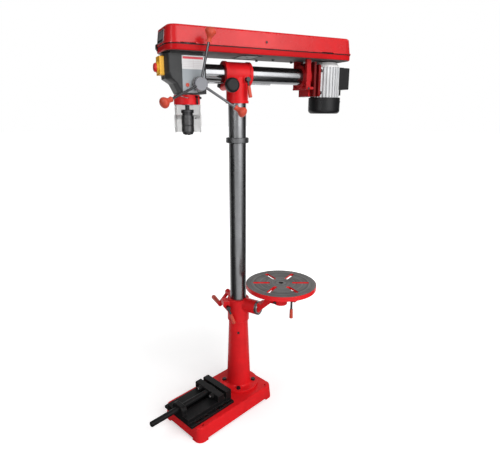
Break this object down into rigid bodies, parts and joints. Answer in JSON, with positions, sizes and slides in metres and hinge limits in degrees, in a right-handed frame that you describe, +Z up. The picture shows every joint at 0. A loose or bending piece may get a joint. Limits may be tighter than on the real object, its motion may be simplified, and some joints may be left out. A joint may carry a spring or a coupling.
{
  "type": "radial drilling machine",
  "caption": "Floor-standing radial drilling machine with a belt head on a sliding ram, a swinging round table, a drill guard and a machine vise on its base.",
  "frame": {"origin": "centre of the base's four floor bolts, on the floor", "axes": "+Z up along the column, -Y towards the vise end of the base, +X across the base"},
  "size_m": [0.5775, 0.9897, 1.62],
  "materials": {
    "red_paint": "gloss",
    "dark_paint": "satin",
    "polished_steel": "polished",
    "dark_steel": "satin",
    "machined_iron": "machined",
    "black_iron": "painted",
    "aluminium": "satin",
    "black_plastic": "matte",
    "red_plastic": "satin",
    "yellow_plastic": "satin",
    "green_plastic": "gloss",
    "clear_plastic": "gloss",
    "belt_rubber": "matte"
  },
  "bodies": {
    "base": {"base_casting": "red_paint", "pedestal": "red_paint", "pedestal_bolts": "dark_steel", "column_tube": "polished_steel", "rack_ring": "polished_steel", "vise_body": "black_iron"},
    "vise_jaw": {"vise_jaw": "black_iron"},
    "vise_screw": {"vise_screw": "dark_steel"},
    "table_rack": {"table_rack": "polished_steel"},
    "table_bracket": {"table_bracket": "red_paint"},
    "elevation_gear": {"elevation_gear": "polished_steel"},
    "table_crank": {"table_crank": "red_paint", "crank_grip": "red_plastic"},
    "table_clamp_lever": {"table_clamp_lever": "dark_steel", "table_clamp_grip": "red_plastic"},
    "table_arm": {"table_arm": "red_paint", "tilt_scale_ring": "machined_iron"},
    "table": {"table": "machined_iron"},
    "table_lock_lever": {"table_lock_lever": "dark_steel", "table_lock_grip": "red_plastic"},
    "column_head": {"column_head": "red_paint"},
    "ram_pinion": {"ram_pinion": "polished_steel", "ram_knob": "black_plastic"},
    "ram_lock_lever": {"ram_lock_lever": "dark_steel", "ram_lock_grip": "red_plastic"},
    "ram": {"ram_tube": "polished_steel", "ram_rack": "polished_steel"},
    "head": {"head_casting": "dark_paint", "motor_mount": "red_paint", "belt_tray": "red_paint", "v_belt": "belt_rubber", "spring_cap": "dark_paint", "switch_box": "yellow_plastic"},
    "belt_lid": {"belt_lid": "red_paint"},
    "motor": {"motor_plate": "red_paint", "motor_body": "aluminium", "fan_cover": "black_plastic", "terminal_box": "black_plastic"},
    "motor_rotor": {"motor_rotor": "dark_steel", "motor_pulley": "aluminium"},
    "spindle_pulley": {"spindle_pulley": "aluminium"},
    "feed": {"feed_shaft": "polished_steel", "depth_dial": "dark_steel", "feed_hub": "aluminium", "feed_spokes": "polished_steel", "feed_knobs": "red_plastic"},
    "quill": {"quill": "polished_steel", "quill_bearings": "polished_steel"},
    "spindle": {"spindle": "polished_steel", "chuck_body": "dark_steel"},
    "chuck_sleeve": {"chuck_sleeve": "dark_steel"},
    "chuck_jaw_1": {"chuck_jaw_1": "dark_steel"},
    "chuck_jaw_2": {"chuck_jaw_2": "dark_steel"},
    "chuck_jaw_3": {"chuck_jaw_3": "dark_steel"},
    "guard": {"guard_collar": "red_paint", "guard_upper": "clear_plastic"},
    "guard_lower": {"guard_lower": "clear_plastic"},
    "switch_flap": {"switch_flap": "yellow_plastic"},
    "estop_button": {"estop_button": "red_plastic"},
    "start_button": {"start_button": "green_plastic"}
  },
  "joints": [
    {"name": "table_swing", "type": "hinge", "parent": "base", "child": "table_rack", "pos_m": [0, 0.12, 0], "axis": [0, 0, 1], "range_deg": [-180, 180]},
    {"name": "table_height", "type": "slide", "parent": "table_rack", "child": "table_bracket", "axis": [0, 0, 1], "range_m": [0, 0.51]},
    {"name": "elevation_gear_turn", "type": "hinge", "parent": "table_bracket", "child": "elevation_gear", "pos_m": [-0.05293, 0.14032, 0.46076], "axis": [-0.3584, -0.9336, 0], "range_deg": [-2039.23, 10]},
    {"name": "crank_turn", "type": "hinge", "parent": "table_bracket", "child": "table_crank", "pos_m": [-0.05293, 0.14032, 0.484], "axis": [-0.9336, 0.3584, 0], "range_deg": [-10, 4068.45]},
    {"name": "table_clamp_turn", "type": "hinge", "parent": "table_bracket", "child": "table_clamp_lever", "pos_m": [-0.02651, 0.07295, 0.474], "axis": [0.8712, -0.4909, 0], "range_deg": [-60, 10]},
    {"name": "table_tilt", "type": "hinge", "parent": "table_bracket", "child": "table_arm", "pos_m": [0, 0.12, 0.482], "axis": [0.9759, 0.2181, 0], "range_deg": [-45, 45]},
    {"name": "table_spin", "type": "hinge", "parent": "table_arm", "child": "table", "pos_m": [0.21177, 0.16734, 0], "axis": [0, 0, 1], "continuous": true},
    {"name": "table_lock_turn", "type": "hinge", "parent": "table_arm", "child": "table_lock_lever", "pos_m": [0.27423, 0.1813, 0.577], "axis": [-0.2181, 0.9759, 0], "range_deg": [-60, 30]},
    {"name": "head_swivel", "type": "hinge", "parent": "base", "child": "column_head", "pos_m": [0, 0.12, 0], "axis": [0, 0, 1], "range_deg": [-180, 180]},
    {"name": "ram_traverse", "type": "slide", "parent": "column_head", "child": "ram", "axis": [-0.3486, -0.9373, 0], "range_m": [-0.055, 0.18]},
    {"name": "ram_pinion_turn", "type": "hinge", "parent": "column_head", "child": "ram_pinion", "pos_m": [-0.01743, 0.07314, 1.4229], "axis": [0.9373, -0.3486, 0], "range_deg": [-360.14, 1155.92]},
    {"name": "ram_lock_turn", "type": "hinge", "parent": "column_head", "child": "ram_lock_lever", "pos_m": [0.00697, 0.13875, 1.446], "axis": [0.9373, -0.3486, 0], "range_deg": [-30, 45]},
    {"name": "head_tilt", "type": "hinge", "parent": "ram", "child": "head", "pos_m": [0, 0.12, 1.468], "axis": [-0.3486, -0.9373, 0], "range_deg": [-25, 45]},
    {"name": "lid_open", "type": "hinge", "parent": "head", "child": "belt_lid", "pos_m": [-0.0942, 0.15503, 1.557], "axis": [-0.3486, -0.9373, 0], "range_deg": [0, 95]},
    {"name": "motor_slack", "type": "slide", "parent": "head", "child": "motor", "axis": [-0.3486, -0.9373, 0], "range_m": [0, 0.0075]},
    {"name": "motor_spin", "type": "hinge", "parent": "motor", "child": "motor_rotor", "pos_m": [0.14675, 0.5146, 0], "axis": [0, 0, 1], "continuous": true},
    {"name": "spindle_pulley_spin", "type": "hinge", "parent": "head", "child": "spindle_pulley", "pos_m": [-0.0732, -0.07683, 0], "axis": [0, 0, 1], "continuous": true},
    {"name": "feed_turn", "type": "hinge", "parent": "head", "child": "feed", "pos_m": [-0.06344, -0.05058, 1.422], "axis": [0.9373, -0.3486, 0], "range_deg": [0, 531.65], "stiffness_Nm_per_rad": 0.1, "springref_deg": -458.37},
    {"name": "quill_feed", "type": "slide", "parent": "head", "child": "quill", "axis": [0, 0, -1], "range_m": [0, 0.08]},
    {"name": "spindle_spin", "type": "hinge", "parent": "quill", "child": "spindle", "pos_m": [-0.0732, -0.07683, 0], "axis": [0, 0, 1], "continuous": true},
    {"name": "chuck_sleeve_turn", "type": "hinge", "parent": "spindle", "child": "chuck_sleeve", "pos_m": [-0.0732, -0.07683, 0], "axis": [0, 0, 1], "range_deg": [-270, 900]},
    {"name": "chuck_jaw_1_slide", "type": "slide", "parent": "spindle", "child": "chuck_jaw_1", "axis": [-0.1628, 0.0605, -0.9848], "range_m": [-0.0031, 0.0101]},
    {"name": "chuck_jaw_2_slide", "type": "slide", "parent": "spindle", "child": "chuck_jaw_2", "axis": [0.029, -0.1712, -0.9848], "range_m": [-0.0031, 0.0101]},
    {"name": "chuck_jaw_3_slide", "type": "slide", "parent": "spindle", "child": "chuck_jaw_3", "axis": [0.1338, 0.1107, -0.9848], "range_m": [-0.0031, 0.0101]},
    {"name": "guard_swing", "type": "hinge", "parent": "quill", "child": "guard", "pos_m": [-0.0732, -0.07683, 0], "axis": [0, 0, 1], "range_deg": [-60, 60]},
    {"name": "guard_lift", "type": "slide", "parent": "guard", "child": "guard_lower", "axis": [0, 0, 1], "range_m": [0, 0.035]},
    {"name": "switch_flap_open", "type": "hinge", "parent": "head", "child": "switch_flap", "pos_m": [-0.10834, -0.17131, 1.5165], "axis": [-0.9373, 0.3486, 0], "range_deg": [0, 90]},
    {"name": "estop_press", "type": "slide", "parent": "switch_flap", "child": "estop_button", "axis": [0.3486, 0.9373, 0], "range_m": [0, 0.0037], "stiffness_N_per_m": 600, "springref_m": -0.003},
    {"name": "start_press", "type": "slide", "parent": "head", "child": "start_button", "axis": [0.3486, 0.9373, 0], "range_m": [0, 0.0018], "stiffness_N_per_m": 400, "springref_m": -0.002},
    {"name": "vise_jaw_slide", "type": "slide", "parent": "base", "child": "vise_jaw", "axis": [0, -1, 0], "range_m": [-0.0115, 0.1]},
    {"name": "vise_screw_turn", "type": "hinge", "parent": "vise_jaw", "child": "vise_screw", "pos_m": [-0.002, -0.15, 0.1105], "axis": [0, -1, 0], "range_deg": [-696, 6006]}
  ],
  "couplings": [
    {"joint": "elevation_gear_turn", "follows": "table_height", "rad_per_m": -69.444},
    {"joint": "crank_turn", "follows": "table_height", "rad_per_m": 138.89},
    {"joint": "ram_pinion_turn", "follows": "ram_traverse", "rad_per_m": 111.11},
    {"joint": "spindle_pulley_spin", "follows": "motor_spin", "ratio": 0.42636},
    {"joint": "spindle_spin", "follows": "motor_spin", "ratio": 0.42636},
    {"joint": "quill_feed", "follows": "feed_turn", "m_per_rad": 0.0086},
    {"joint": "vise_screw_turn", "follows": "vise_jaw_slide", "rad_per_m": 1047.2},
    {"joint": "chuck_jaw_1_slide", "follows": "chuck_sleeve_turn", "m_per_rad": 0.00063662},
    {"joint": "chuck_jaw_2_slide", "follows": "chuck_sleeve_turn", "m_per_rad": 0.00063662},
    {"joint": "chuck_jaw_3_slide", "follows": "chuck_sleeve_turn", "m_per_rad": 0.00063662}
  ]
}
